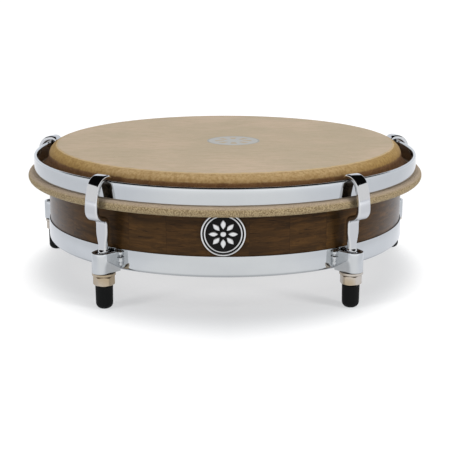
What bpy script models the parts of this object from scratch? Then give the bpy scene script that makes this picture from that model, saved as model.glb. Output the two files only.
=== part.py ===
"""A plena drum: a shallow wooden hand drum whose five tension rods are also its feet.

All lengths are in metres. The drum's axis is the world Z axis, and its rubber feet stand on z = 0.
The edge of the skin is wrapped round a steel flesh hoop and a flat chrome hoop presses it down. Five
hooks pull that hoop towards brackets welded to a steel band round the foot of the shell.
"""

import math

import bmesh
import bpy
from mathutils import Matrix, Vector

# The drum as a whole
LUG_COUNT = 5
FIRST_LUG_ANGLE = -126.0
RING_SEGMENTS = 60
FIT_GAP = 0.0003
SHARP_ANGLE = math.radians(32.0)
MERGE_DISTANCE = 1e-6

# Wooden shell
SHELL_RADIUS = 0.1270
SHELL_WALL = 0.0095
SHELL_BOTTOM = 0.0272
SHELL_EDGE_CHAMFER = 0.0005
SHELL_TAPER_START = 0.0765
INNER_EDGE_DROP = 0.0014
BEARING_EDGE_STEPS = 4

# Skin, from the middle of the playing surface to its tucked end under the flesh hoop
HEAD_TOP = 0.0913
SKIN_THICKNESS = 0.0012
HEAD_FLAT_RADIUS = 0.1186
CROWN_RADIUS = 0.0075
COLLAR_FLARE_RADIUS = 0.0064
COLLAR_FLARE_ANGLE = 45.0
COLLAR_FOOT_RADIUS = 0.0030
COLLAR_FOOT_AT = 0.1352
WRAP_TUCK_ANGLE = -200.0
CROWN_STEPS = 5
COLLAR_STEPS = 2
WRAP_STEPS = 6

# Steel flesh hoop inside the wrapped edge of the skin
FLESH_HOOP_RADIUS = 0.1382
FLESH_HOOP_HEIGHT = 0.0700
FLESH_HOOP_WIRE_RADIUS = 0.0018
FLESH_HOOP_SIDES = 6

# Flat chrome counterhoop
HOOP_OUTER_RADIUS = 0.13715
HOOP_WALL = 0.0024
HOOP_TOP = 0.0846
HOOP_BOTTOM_CHAMFER = 0.0004
HOOP_TOP_STEPS = 4

# Steel band round the bottom of the shell
BAND_WALL = 0.0012
BAND_BOTTOM = 0.0257
BAND_TOP = 0.0387
BAND_LIP_RADIUS = 0.1210
BAND_CORNER_RADIUS = 0.0010
BAND_CORNER_STEPS = 2
BAND_TOP_CHAMFER = 0.0003

# Bracket: a U of strip steel, welded to the band by the ends of its legs
ROD_CIRCLE_RADIUS = 0.1363
BRACKET_RADIUS = 0.0060
BRACKET_WALL = 0.0016
BRACKET_BEND_AT = 0.1388
BRACKET_SPLAY = 7.5
BRACKET_BOTTOM = 0.0243
BRACKET_TOP = 0.0378
BRACKET_ARC_STEPS = 8
WELD_OVERLAP = 0.0006
WELD_WIDTH = 0.0022
WELD_HEIGHT = 0.0020
WELD_END_INSET = 0.0012
WELD_SIDE_STEPS = 2

# Tension hook: a strap that hooks over the counterhoop and runs down into a threaded rod
STRAP_WIDTH = 0.0098
STRAP_CROWN_THICKNESS = 0.0033
STRAP_LEG_THICKNESS = 0.0026
STRAP_EDGE_CHAMFER = 0.0006
LIP_BOTTOM = 0.0800
CROWN_TOP = 0.08825
CROWN_BACK_AT = 0.13545
CROWN_FRONT_AT = 0.1361
CROWN_FRONT_RADIUS = 0.01035
HOOK_CROWN_STEPS = 4
LEG_BOW_RADIUS = 0.0500
LEG_BOW_ANGLE = 16.9
LEG_BOW_STEPS = 2
LOWER_BEND_RADIUS = 0.0075
LOWER_BEND_ANGLE = -75.0
LOWER_BEND_STEPS = 4
SHOULDER_RADIUS = 0.0025
SHOULDER_STEPS = 2
SHOULDER_FACE_AT = 0.1382
SHOULDER_WIDTH = 0.0090
TAPER_TOP = 0.0513
NECK_START = 0.0400
NECK_START_WIDTH = 0.0058
NECK_ROUND_TOP = 0.0372
NECK_RADIUS = 0.00345
HALF_ROUND = 0.5
ROD_RADIUS = 0.00397
ROD_THREAD_TOP = 0.0366
ROD_BOTTOM = 0.0028
ROD_END_CHAMFER = 0.0007
SECTION_POINTS = 12

# Washer, hexagonal tuning nut and rubber foot, on each rod
WASHER_RADIUS = 0.00775
WASHER_BORE = 0.0047
WASHER_BOTTOM = 0.0223
WASHER_TOP = 0.0240
WASHER_SEGMENTS = 16
NUT_SIDES = 6
NUT_ACROSS_FLATS = 0.0127
NUT_CORNER_RADIUS = 0.00705
NUT_BORE = 0.00445
NUT_BOTTOM = 0.0157
NUT_TOP = 0.0220
NUT_CHAMFER_ANGLE = 30.0
NUT_FACE_RADIUS = 0.0059
NUT_TURNS = (37.9, 8.5, 21.0, 50.0, 2.0)
FOOT_RADIUS = 0.0056
FOOT_TOP = 0.0154
FOOT_FLAT_RADIUS = 0.0022
FOOT_CORNER_RADIUS = 0.0032
FOOT_CORNER_STEPS = 3
FOOT_RIM_CHAMFER = 0.0003
FOOT_BORE = 0.0044
FOOT_SOLE = 0.0025
FOOT_SEGMENTS = 14

# Round badge bent to the shell
BADGE_RADIUS = 0.0142
BADGE_ANGLE = -91.4
BADGE_HEIGHT = 0.0534
BADGE_FIELD_DEPTH = 0.0006
BADGE_RIM_DEPTH = 0.0012
BADGE_RIM_SIDE = 0.00084
BADGE_RIM_WIDTH = 0.0012
BADGE_INNER_RING_AT = 0.0120
BADGE_INNER_RING_WIDTH = 0.0007
BADGE_SEGMENTS = 32


def clear_scene():
    """Remove every object, so that the file holds only the drum."""
    for old in list(bpy.data.objects):
        bpy.data.objects.remove(old, do_unlink=True)


def linear(red, green, blue):
    """Turn a colour as seen on a screen, 0 to 255, into the linear values that a shader takes."""
    return tuple((channel / 255.0) ** 2.2 for channel in (red, green, blue)) + (1.0,)


def make_material(name, colour, roughness, metallic=0.0):
    """Make a plain Principled material."""
    material = bpy.data.materials.new(name)
    material.use_nodes = True
    shader = material.node_tree.nodes["Principled BSDF"]
    shader.inputs["Base Color"].default_value = colour
    shader.inputs["Roughness"].default_value = roughness
    shader.inputs["Metallic"].default_value = metallic
    material.diffuse_color = colour
    return material


def make_empty(name, parent=None, location=(0.0, 0.0, 0.0), turn=0.0):
    """Make an empty that carries other objects."""
    empty = bpy.data.objects.new(name, None)
    empty.empty_display_size = 0.01
    empty.parent = parent
    empty.location = location
    empty.rotation_euler = (0.0, 0.0, math.radians(turn))
    bpy.context.collection.objects.link(empty)
    return empty


def finish_mesh(bm, name, material):
    """Turn a bmesh into a mesh with its faces outwards, shaded smooth between sharp edges."""
    bmesh.ops.remove_doubles(bm, verts=bm.verts, dist=MERGE_DISTANCE)
    bmesh.ops.recalc_face_normals(bm, faces=bm.faces)
    mesh = bpy.data.meshes.new(name)
    bm.to_mesh(mesh)
    bm.free()
    mesh.materials.append(material)
    mesh.shade_smooth()
    mesh.set_sharp_from_angle(angle=SHARP_ANGLE)
    return mesh


def place(name, mesh, parent, turn=0.0):
    """Put one object with this mesh on its parent, turned about the parent's Z axis."""
    thing = bpy.data.objects.new(name, mesh)
    thing.parent = parent
    thing.rotation_euler = (0.0, 0.0, math.radians(turn))
    bpy.context.collection.objects.link(thing)
    return thing


def arc(centre, radius, start, end, steps):
    """Points along an arc in a plane, angles in degrees, both ends included."""
    points = []
    for step in range(steps + 1):
        angle = math.radians(start + (end - start) * step / steps)
        points.append((centre[0] + radius * math.cos(angle), centre[1] + radius * math.sin(angle)))
    return points


def revolve(name, outline, material, segments=RING_SEGMENTS):
    """Spin a closed outline of (radius, height) points about the Z axis."""
    bm = bmesh.new()
    verts = [bm.verts.new((radius, 0.0, height)) for radius, height in outline]
    edges = [bm.edges.new((vert, verts[(i + 1) % len(verts)])) for i, vert in enumerate(verts)]
    bmesh.ops.spin(bm, geom=verts + edges, cent=(0.0, 0.0, 0.0), axis=(0.0, 0.0, 1.0),
                   angle=math.tau, steps=segments, use_merge=True)
    bmesh.ops.dissolve_degenerate(bm, dist=MERGE_DISTANCE, edges=bm.edges)
    return finish_mesh(bm, name, material)


def sheet_outline(path, thickness):
    """Outline of a sheet of even thickness whose middle follows a path that starts on the axis."""
    upper = []
    lower = []
    for i, point in enumerate(path):
        before = Vector(path[max(i - 1, 0)])
        after = Vector(path[min(i + 1, len(path) - 1)])
        along = (after - before).normalized()
        across = Vector((-along.y, along.x)) * (thickness / 2)
        if i == 0:
            across = Vector((0.0, thickness / 2))
        upper.append(tuple(Vector(point) + across))
        lower.append(tuple(Vector(point) - across))
    return upper + lower[::-1]


def skin_path():
    """Middle line of the skin: flat head, crown, flared collar, then round the flesh hoop."""
    middle = HEAD_TOP - SKIN_THICKNESS / 2
    crown_centre = (HEAD_FLAT_RADIUS, middle - CROWN_RADIUS)
    flare_centre = (HEAD_FLAT_RADIUS + CROWN_RADIUS + COLLAR_FLARE_RADIUS, crown_centre[1])
    wrap_radius = FLESH_HOOP_WIRE_RADIUS + FIT_GAP + SKIN_THICKNESS / 2
    wrap_centre = (FLESH_HOOP_RADIUS, FLESH_HOOP_HEIGHT)
    foot_centre = (COLLAR_FOOT_AT, FLESH_HOOP_HEIGHT + wrap_radius + COLLAR_FOOT_RADIUS)
    path = [(0.0, middle)]
    path += arc(crown_centre, CROWN_RADIUS, 90.0, 0.0, CROWN_STEPS)
    path += arc(flare_centre, COLLAR_FLARE_RADIUS, 180.0, 180.0 + COLLAR_FLARE_ANGLE, COLLAR_STEPS)[1:]
    path += arc(foot_centre, COLLAR_FOOT_RADIUS, 180.0 + COLLAR_FLARE_ANGLE, 270.0, COLLAR_STEPS)
    path += arc(wrap_centre, wrap_radius, 90.0, WRAP_TUCK_ANGLE, WRAP_STEPS)
    return path


def make_skin(material):
    """The drum skin, one turned sheet whose edge wraps the flesh hoop."""
    return revolve("drum_skin", sheet_outline(skin_path(), SKIN_THICKNESS), material)


def make_shell(material):
    """The wooden shell: straight below, relieved under the collar, rounded at the bearing edge."""
    edge_radius = CROWN_RADIUS - SKIN_THICKNESS / 2 - FIT_GAP
    edge_centre = (HEAD_FLAT_RADIUS, HEAD_TOP - SKIN_THICKNESS / 2 - CROWN_RADIUS)
    inner = SHELL_RADIUS - SHELL_WALL
    outline = [
        (inner, SHELL_BOTTOM),
        (SHELL_RADIUS - SHELL_EDGE_CHAMFER, SHELL_BOTTOM),
        (SHELL_RADIUS, SHELL_BOTTOM + SHELL_EDGE_CHAMFER),
        (SHELL_RADIUS, SHELL_TAPER_START),
    ]
    outline += arc(edge_centre, edge_radius, 0.0, 90.0, BEARING_EDGE_STEPS)
    outline.append((inner, edge_centre[1] + edge_radius - INNER_EDGE_DROP))
    return revolve("shell", outline, material)


def make_flesh_hoop(material):
    """The steel wire ring inside the wrapped edge of the skin."""
    ring = arc((FLESH_HOOP_RADIUS, FLESH_HOOP_HEIGHT), FLESH_HOOP_WIRE_RADIUS, 0.0, 360.0, FLESH_HOOP_SIDES)
    return revolve("flesh_hoop", ring[:-1], material)


def make_counterhoop(material):
    """The flat chrome hoop, with a fully rounded top edge."""
    inner = HOOP_OUTER_RADIUS - HOOP_WALL
    bottom = FLESH_HOOP_HEIGHT + FLESH_HOOP_WIRE_RADIUS + 2 * FIT_GAP + SKIN_THICKNESS
    edge_centre = (HOOP_OUTER_RADIUS - HOOP_WALL / 2, HOOP_TOP - HOOP_WALL / 2)
    outline = [
        (inner + HOOP_BOTTOM_CHAMFER, bottom),
        (HOOP_OUTER_RADIUS - HOOP_BOTTOM_CHAMFER, bottom),
        (HOOP_OUTER_RADIUS, bottom + HOOP_BOTTOM_CHAMFER),
    ]
    outline += arc(edge_centre, HOOP_WALL / 2, 0.0, 180.0, HOOP_TOP_STEPS)
    outline.append((inner, bottom + HOOP_BOTTOM_CHAMFER))
    return revolve("counterhoop", outline, material)


def make_bottom_band(material):
    """The band round the shell, with a lip turned in under the shell's bottom edge."""
    inner = SHELL_RADIUS + FIT_GAP
    outer = inner + BAND_WALL
    corner_centre = (outer - BAND_CORNER_RADIUS, BAND_BOTTOM + BAND_CORNER_RADIUS)
    outline = [(BAND_LIP_RADIUS, BAND_BOTTOM)]
    outline += arc(corner_centre, BAND_CORNER_RADIUS, -90.0, 0.0, BAND_CORNER_STEPS)
    outline += [
        (outer, BAND_TOP - BAND_TOP_CHAMFER),
        (outer - BAND_TOP_CHAMFER, BAND_TOP),
        (inner, BAND_TOP),
        (inner, BAND_BOTTOM + BAND_WALL),
        (BAND_LIP_RADIUS, BAND_BOTTOM + BAND_WALL),
    ]
    return revolve("bottom_band", outline, material)


def add_prism(bm, outline, bottom, top):
    """Add an upright prism with this (x, y) outline."""
    face = bm.faces.new([bm.verts.new((x, y, bottom)) for x, y in outline])
    grown = bmesh.ops.extrude_face_region(bm, geom=[face])
    raised = [item for item in grown["geom"] if isinstance(item, bmesh.types.BMVert)]
    bmesh.ops.translate(bm, verts=raised, vec=(0.0, 0.0, top - bottom))


def bracket_side(back, radius):
    """One side of a bracket's outline: an arc of the bend and the end of the splayed leg, from the middle on."""
    bend_centre = (BRACKET_BEND_AT - ROD_CIRCLE_RADIUS, 0.0)
    side = arc(bend_centre, radius, 0.0, 90.0 - BRACKET_SPLAY, BRACKET_ARC_STEPS // 2)
    leg_x, leg_y = side[-1]
    side.append((back, leg_y + (leg_x - back) * math.tan(math.radians(BRACKET_SPLAY))))
    return side


def add_weld_bead(bm, back, side):
    """Add a bead of weld in the corner between a bracket leg and the band, on one side (1 or -1)."""
    leg_end = bracket_side(back, BRACKET_RADIUS)[-1][1]
    leg_face = leg_end - WELD_OVERLAP
    inset = [WELD_END_INSET, 0.0, 0.0, WELD_END_INSET]
    heights = [BRACKET_BOTTOM, BRACKET_BOTTOM + 2 * WELD_END_INSET,
               BRACKET_TOP - 2 * WELD_END_INSET, BRACKET_TOP - WELD_END_INSET]
    rings = []
    for shrink, height in zip(inset, heights):
        reach = WELD_WIDTH - shrink
        rise = WELD_HEIGHT - shrink
        corner = [(back, leg_face)]
        corner += [(back + rise * math.sin(math.pi / 2 * step / WELD_SIDE_STEPS),
                    leg_end + reach * math.cos(math.pi / 2 * step / WELD_SIDE_STEPS))
                   for step in range(WELD_SIDE_STEPS + 1)]
        corner.append((back + rise, leg_face))
        rings.append([bm.verts.new((x, side * y, height)) for x, y in corner])
    join_rings(bm, rings)


def join_rings(bm, rings):
    """Skin a row of vertex rings with quads and close both ends."""
    for lower, upper in zip(rings, rings[1:]):
        for i in range(len(lower)):
            j = (i + 1) % len(lower)
            bm.faces.new((lower[i], lower[j], upper[j], upper[i]))
    bm.faces.new(rings[0][::-1])
    bm.faces.new(rings[-1])


def make_bracket_legs(material):
    """The bent strip of a bracket, round its rod and back to the band, in the lug's own frame."""
    back = SHELL_RADIUS + BAND_WALL + 2 * FIT_GAP - ROD_CIRCLE_RADIUS
    outer = bracket_side(back, BRACKET_RADIUS)
    inner = bracket_side(back, BRACKET_RADIUS - BRACKET_WALL)
    outline = [(x, -y) for x, y in outer[:0:-1]] + outer
    outline += inner[::-1] + [(x, -y) for x, y in inner[1:]]
    bm = bmesh.new()
    add_prism(bm, outline, BRACKET_BOTTOM, BRACKET_TOP)
    return finish_mesh(bm, "lug_bracket", material)


def make_weld_beads(material):
    """Both weld beads of a bracket, to be joined to its legs."""
    back = SHELL_RADIUS + BAND_WALL + 2 * FIT_GAP - ROD_CIRCLE_RADIUS
    bm = bmesh.new()
    for side in (1, -1):
        add_weld_bead(bm, back, side)
    return finish_mesh(bm, "weld_beads", material)


def strap_section(middle, width, thickness, roundness):
    """One section of the hook as (across, outward) points: a chamfered strap, or a round rod."""
    half_width = width / 2
    half_depth = thickness / 2
    flat = half_width - STRAP_EDGE_CHAMFER
    edge = half_depth - STRAP_EDGE_CHAMFER
    corners = [(0.0, half_depth), (flat, half_depth), (half_width, edge)]
    strap = corners + [(half_width, 0.0)]
    strap += [(x, -y) for x, y in corners[::-1]]
    strap += [(-x, y) for x, y in strap[5:0:-1]]
    points = []
    for i, (x, y) in enumerate(strap):
        angle = math.tau * i / SECTION_POINTS
        round_x = half_width * math.sin(angle)
        round_y = half_depth * math.cos(angle)
        points.append((x + (round_x - x) * roundness, middle + y + (round_y - y) * roundness))
    return points


def hook_face():
    """Outer face of the hook from lip to shoulder: (radius, height, facing angle, width, thickness)."""
    crown = STRAP_CROWN_THICKNESS
    leg = STRAP_LEG_THICKNESS
    back_radius = CROWN_TOP - HOOP_TOP - FIT_GAP + HOOP_WALL / 2 - FIT_GAP / 2
    back_centre = (CROWN_BACK_AT, CROWN_TOP - back_radius)
    front_centre = (CROWN_FRONT_AT, CROWN_TOP - CROWN_FRONT_RADIUS)
    bow = math.radians(LEG_BOW_ANGLE)
    centre_gap = LEG_BOW_RADIUS - CROWN_FRONT_RADIUS
    bow_centre = (front_centre[0] - centre_gap * math.cos(bow), front_centre[1] - centre_gap * math.sin(bow))
    bend_centre = (bow_centre[0] + LEG_BOW_RADIUS - LOWER_BEND_RADIUS, bow_centre[1])
    bend_end = Vector(arc(bend_centre, LOWER_BEND_RADIUS, LOWER_BEND_ANGLE, LOWER_BEND_ANGLE, 1)[0])
    slope = math.radians(-LOWER_BEND_ANGLE)
    jog = bend_end.x - SHOULDER_FACE_AT - SHOULDER_RADIUS * (1.0 - math.cos(slope))
    shoulder_bottom = bend_end.y - jog / math.tan(slope) - SHOULDER_RADIUS * math.sin(slope)
    shoulder_centre = (SHOULDER_FACE_AT + SHOULDER_RADIUS, shoulder_bottom)
    stations = [(back_centre[0] - back_radius, LIP_BOTTOM, 180.0, STRAP_WIDTH, crown)]

    def follow(centre, radius, start, end, steps, inside_out, widths, depths):
        """Add stations along an arc; the face looks away from the centre, or to it when inside out."""
        for step, point in enumerate(arc(centre, radius, start, end, steps)):
            share = step / steps
            facing = start + (end - start) * share - (180.0 if inside_out else 0.0)
            width = widths[0] + (widths[1] - widths[0]) * share
            depth = depths[0] + (depths[1] - depths[0]) * share
            stations.append((point[0], point[1], facing, width, depth))

    full = (STRAP_WIDTH, STRAP_WIDTH)
    follow(back_centre, back_radius, 180.0, 90.0, HOOK_CROWN_STEPS, False, full, (crown, crown))
    follow(front_centre, CROWN_FRONT_RADIUS, 90.0, LEG_BOW_ANGLE, HOOK_CROWN_STEPS, False, full, (crown, leg))
    follow(bow_centre, LEG_BOW_RADIUS, LEG_BOW_ANGLE, 0.0, LEG_BOW_STEPS, False, full, (leg, leg))
    follow(bend_centre, LOWER_BEND_RADIUS, 0.0, LOWER_BEND_ANGLE, LOWER_BEND_STEPS, False, full, (leg, leg))
    follow(shoulder_centre, SHOULDER_RADIUS, 180.0 + LOWER_BEND_ANGLE, 180.0, SHOULDER_STEPS, True,
           (STRAP_WIDTH, SHOULDER_WIDTH), (leg, leg))
    return stations


def make_hook(material):
    """The tension hook, lofted from its lip over the crown and down into the round rod."""
    bm = bmesh.new()
    rings = []
    last = None
    for radius, height, facing, width, thickness in hook_face():
        here = (round(radius, 7), round(height, 7))
        if here == last:
            continue
        last = here
        out = Vector((math.cos(math.radians(facing)), 0.0, math.sin(math.radians(facing))))
        face = Vector((radius - ROD_CIRCLE_RADIUS, 0.0, height))
        section = strap_section(-thickness / 2, width, thickness, 0.0)
        rings.append([bm.verts.new(face + out * depth + Vector((0.0, x, 0.0))) for x, depth in section])

    def level(height, middle, width, thickness, roundness):
        """Add a level section of the lower leg or rod at this height."""
        section = strap_section(middle, width, thickness, roundness)
        rings.append([bm.verts.new((out_by, x, height)) for x, out_by in section])

    leg_middle = SHOULDER_FACE_AT - STRAP_LEG_THICKNESS / 2 - ROD_CIRCLE_RADIUS
    level(TAPER_TOP, leg_middle, SHOULDER_WIDTH, STRAP_LEG_THICKNESS, 0.0)
    level(NECK_START, leg_middle, NECK_START_WIDTH, STRAP_LEG_THICKNESS, 0.0)
    half_way = (NECK_START + NECK_ROUND_TOP) / 2
    level(half_way, leg_middle / 2, NECK_START_WIDTH / 2 + NECK_RADIUS,
          STRAP_LEG_THICKNESS / 2 + NECK_RADIUS, HALF_ROUND)
    level(NECK_ROUND_TOP, 0.0, 2 * NECK_RADIUS, 2 * NECK_RADIUS, 1.0)
    level(ROD_THREAD_TOP, 0.0, 2 * ROD_RADIUS, 2 * ROD_RADIUS, 1.0)
    level(ROD_BOTTOM + ROD_END_CHAMFER, 0.0, 2 * ROD_RADIUS, 2 * ROD_RADIUS, 1.0)
    end_width = 2 * (ROD_RADIUS - ROD_END_CHAMFER)
    level(ROD_BOTTOM, 0.0, end_width, end_width, 1.0)
    join_rings(bm, rings)
    return finish_mesh(bm, "tension_hook", material)


def make_washer(material):
    """The flat washer between bracket and nut."""
    outline = [(WASHER_BORE, WASHER_BOTTOM), (WASHER_RADIUS, WASHER_BOTTOM),
               (WASHER_RADIUS, WASHER_TOP), (WASHER_BORE, WASHER_TOP)]
    return revolve("washer", outline, material, WASHER_SEGMENTS)


def make_nut(material):
    """The hexagonal nut, its corners rolled off and chamfered by a cone above and below."""
    flat = NUT_ACROSS_FLATS / 2
    corner = NUT_CORNER_RADIUS
    corner_turn = math.acos(flat / corner)
    slope = math.tan(math.radians(NUT_CHAMFER_ANGLE))
    flat_drop = (flat - NUT_FACE_RADIUS) * slope
    corner_drop = (corner - NUT_FACE_RADIUS) * slope
    levels = [
        (NUT_BORE, NUT_BORE, NUT_TOP, NUT_TOP),
        (NUT_BORE, NUT_BORE, NUT_BOTTOM, NUT_BOTTOM),
        (NUT_FACE_RADIUS, NUT_FACE_RADIUS, NUT_BOTTOM, NUT_BOTTOM),
        (flat, corner, NUT_BOTTOM + flat_drop, NUT_BOTTOM + corner_drop),
        (flat, corner, NUT_TOP - flat_drop, NUT_TOP - corner_drop),
        (NUT_FACE_RADIUS, NUT_FACE_RADIUS, NUT_TOP, NUT_TOP),
    ]
    bm = bmesh.new()
    rings = []
    for flat_radius, corner_radius, flat_height, corner_height in levels:
        ring = []
        for side in range(NUT_SIDES):
            for turn in (-corner_turn, 0.0, corner_turn):
                angle = math.tau * side / NUT_SIDES + turn
                radius = corner_radius if turn else flat_radius
                height = corner_height if turn else flat_height
                ring.append(bm.verts.new((radius * math.cos(angle), radius * math.sin(angle), height)))
        rings.append(ring)
    for lower, upper in zip(rings, rings[1:] + rings[:1]):
        for i in range(len(lower)):
            j = (i + 1) % len(lower)
            bm.faces.new((lower[i], lower[j], upper[j], upper[i]))
    return finish_mesh(bm, "tuning_nut", material)


def make_foot(material):
    """The rubber cup pushed on the end of the rod."""
    corner_centre = (FOOT_FLAT_RADIUS, FOOT_CORNER_RADIUS)
    outline = [(0.0, 0.0)]
    outline += arc(corner_centre, FOOT_CORNER_RADIUS, -90.0, 0.0, FOOT_CORNER_STEPS)
    outline += [
        (FOOT_RADIUS, FOOT_TOP - FOOT_RIM_CHAMFER),
        (FOOT_RADIUS - FOOT_RIM_CHAMFER, FOOT_TOP),
        (FOOT_BORE, FOOT_TOP),
        (FOOT_BORE, FOOT_SOLE),
        (0.0, FOOT_SOLE),
    ]
    return revolve("rubber_foot", outline, material, FOOT_SEGMENTS)


def make_badge(material):
    """The round badge: a raised rim and a fine inner ring round a plain field, bent to the shell."""
    rim_inside = BADGE_RADIUS - BADGE_RIM_WIDTH
    ring_inside = BADGE_INNER_RING_AT - BADGE_INNER_RING_WIDTH
    outline = [
        (0.0, 0.0),
        (BADGE_RADIUS, 0.0),
        (BADGE_RADIUS, BADGE_RIM_SIDE),
        (BADGE_RADIUS - BADGE_RIM_WIDTH / 2, BADGE_RIM_DEPTH),
        (rim_inside, BADGE_FIELD_DEPTH),
        (BADGE_INNER_RING_AT, BADGE_FIELD_DEPTH),
        ((BADGE_INNER_RING_AT + ring_inside) / 2, (BADGE_FIELD_DEPTH + BADGE_RIM_DEPTH) / 2),
        (ring_inside, BADGE_FIELD_DEPTH),
        (0.0, BADGE_FIELD_DEPTH),
    ]
    mesh = revolve("badge", outline, material, BADGE_SEGMENTS)
    back = SHELL_RADIUS + FIT_GAP
    for vert in mesh.vertices:
        across, up, out = vert.co
        angle = math.radians(BADGE_ANGLE) + across / back
        reach = back + out
        vert.co = (reach * math.cos(angle), reach * math.sin(angle), BADGE_HEIGHT + up)
    return mesh


def union(target, name, mesh):
    """Fuse a second mesh into an object and drop the helper that carried it."""
    helper = place(name, mesh, target.parent)
    helper.hide_render = True
    helper.display_type = "WIRE"
    modifier = target.modifiers.new("weld", "BOOLEAN")
    modifier.operation = "UNION"
    modifier.solver = "EXACT"
    modifier.object = helper


def build():
    """Model the whole drum."""
    clear_scene()
    wood = make_material("dark_lacquered_wood", linear(88, 56, 36), 0.35)
    hide = make_material("natural_skin", linear(186, 169, 140), 0.65)
    steel = make_material("plain_steel", linear(150, 150, 150), 0.4, 1.0)
    chrome = make_material("chrome_plate", linear(205, 208, 212), 0.08, 1.0)
    brass = make_material("yellow_zinc_plate", linear(196, 176, 140), 0.3, 1.0)
    rubber = make_material("black_rubber", linear(27, 28, 28), 0.7)
    enamel = make_material("black_enamel", linear(24, 26, 26), 0.3)

    hoop_and_hooks = make_empty("hoop_and_hooks")
    shell_and_band = make_empty("shell_and_band")
    place("shell", make_shell(wood), shell_and_band)
    place("bottom_band", make_bottom_band(chrome), shell_and_band)
    place("badge", make_badge(enamel), shell_and_band)
    place("drum_skin", make_skin(hide), shell_and_band)
    place("counterhoop", make_counterhoop(chrome), hoop_and_hooks)
    place("flesh_hoop", make_flesh_hoop(steel), hoop_and_hooks)

    hook = make_hook(chrome)
    legs = make_bracket_legs(chrome)
    beads = make_weld_beads(chrome)
    washer = make_washer(brass)
    nut = make_nut(brass)
    foot = make_foot(rubber)
    for number in range(1, LUG_COUNT + 1):
        angle = FIRST_LUG_ANGLE + 360.0 / LUG_COUNT * (number - 1)
        spot = Matrix.Rotation(math.radians(angle), 3, "Z") @ Vector((ROD_CIRCLE_RADIUS, 0.0, 0.0))
        rod_axis = make_empty(f"rod_axis_{number}", hoop_and_hooks, spot, angle)
        nut_axis = make_empty(f"nut_axis_{number}", shell_and_band, spot, angle)
        place(f"tension_hook_{number}", hook, rod_axis)
        place(f"rubber_foot_{number}", foot, rod_axis)
        bracket = place(f"lug_bracket_{number}", legs, nut_axis)
        union(bracket, f"weld_beads_{number}", beads)
        place(f"washer_{number}", washer, nut_axis)
        place(f"tuning_nut_{number}", nut, nut_axis, NUT_TURNS[number - 1])


build()
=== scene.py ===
"""The looks of the plena drum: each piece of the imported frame, made fine, finished and lit.

All lengths are in metres, in the frame of the solids: the drum's axis is Z and its feet stand on z = 0.
"""

import math

import bmesh
import bpy
from mathutils import Matrix, Vector


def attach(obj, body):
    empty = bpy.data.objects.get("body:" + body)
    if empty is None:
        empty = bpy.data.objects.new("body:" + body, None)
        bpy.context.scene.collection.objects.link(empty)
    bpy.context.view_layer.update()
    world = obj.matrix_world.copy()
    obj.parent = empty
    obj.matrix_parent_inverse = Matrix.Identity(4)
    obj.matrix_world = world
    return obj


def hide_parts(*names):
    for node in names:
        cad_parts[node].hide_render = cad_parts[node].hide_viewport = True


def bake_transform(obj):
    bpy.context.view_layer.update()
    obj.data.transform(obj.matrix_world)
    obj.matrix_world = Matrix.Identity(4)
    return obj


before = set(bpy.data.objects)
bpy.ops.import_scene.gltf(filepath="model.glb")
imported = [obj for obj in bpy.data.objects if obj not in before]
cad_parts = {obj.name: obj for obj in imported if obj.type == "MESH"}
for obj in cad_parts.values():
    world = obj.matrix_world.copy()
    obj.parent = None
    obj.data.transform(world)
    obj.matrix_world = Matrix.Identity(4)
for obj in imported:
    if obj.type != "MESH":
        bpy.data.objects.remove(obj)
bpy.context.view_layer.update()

ROOT = "hoop_and_hooks"
SHELL_BODY = "shell_and_band"

# Sizes that the solids share
LUG_COUNT = 5
FIRST_LUG_ANGLE = -126.0
LUG_STEP = 360.0 / LUG_COUNT
ROD_CIRCLE_RADIUS = 0.1363
FIT_GAP = 0.0003

SHELL_RADIUS = 0.1270
SHELL_WALL = 0.0095
SHELL_BOTTOM = 0.0272
SHELL_TAPER_START = 0.0765
INNER_EDGE_DROP = 0.0014

HEAD_TOP = 0.0913
SKIN_THICKNESS = 0.0012
HEAD_FLAT_RADIUS = 0.1186
CROWN_RADIUS = 0.0075
COLLAR_FLARE_RADIUS = 0.0064
COLLAR_FLARE_ANGLE = 45.0
COLLAR_FOOT_RADIUS = 0.0030
COLLAR_FOOT_AT = 0.1352
WRAP_TUCK_ANGLE = -200.0

FLESH_HOOP_RADIUS = 0.1382
FLESH_HOOP_HEIGHT = 0.0700
FLESH_HOOP_WIRE_RADIUS = 0.0018

HOOP_OUTER_RADIUS = 0.13715
HOOP_WALL = 0.0024
HOOP_TOP = 0.0846
HOOP_RISE = 0.0003
HOOP_SINK = 0.0005

BAND_WALL = 0.0005
BAND_BOTTOM = 0.0246
BAND_CORNER_RADIUS = 0.0022
BAND_TOP = 0.0387
BAND_LIP_RADIUS = 0.1210

BRACKET_RADIUS = 0.0060
BRACKET_WALL = 0.0016
BRACKET_BEND_AT = 0.1388
BRACKET_SPLAY = 7.5
BRACKET_BOTTOM = 0.0243
BRACKET_TOP = 0.0378

STRAP_WIDTH = 0.0098
STRAP_CROWN_THICKNESS = 0.0033
STRAP_LEG_THICKNESS = 0.0037
STRAP_EDGE_RADIUS = 0.00125
LIP_BOTTOM = 0.0800
CROWN_TOP = 0.08825
CROWN_BACK_AT = 0.13545
CROWN_FRONT_AT = 0.1361
CROWN_FRONT_RADIUS = 0.01035
LEG_BOW_RADIUS = 0.0500
LEG_BOW_ANGLE = 16.9
LOWER_BEND_RADIUS = 0.0075
LOWER_BEND_ANGLE = -75.0
SHOULDER_RADIUS = 0.0025
SHOULDER_FACE_AT = 0.1382
SHOULDER_WIDTH = 0.0091
TAPER_TOP = 0.0513
NECK_START = 0.0400
NECK_START_WIDTH = 0.0060
NECK_ROUND_TOP = 0.0372
NECK_RADIUS = 0.00345
ROD_RADIUS = 0.00397
ROD_THREAD_TOP = 0.0366
ROD_BOTTOM = 0.0028

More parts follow.
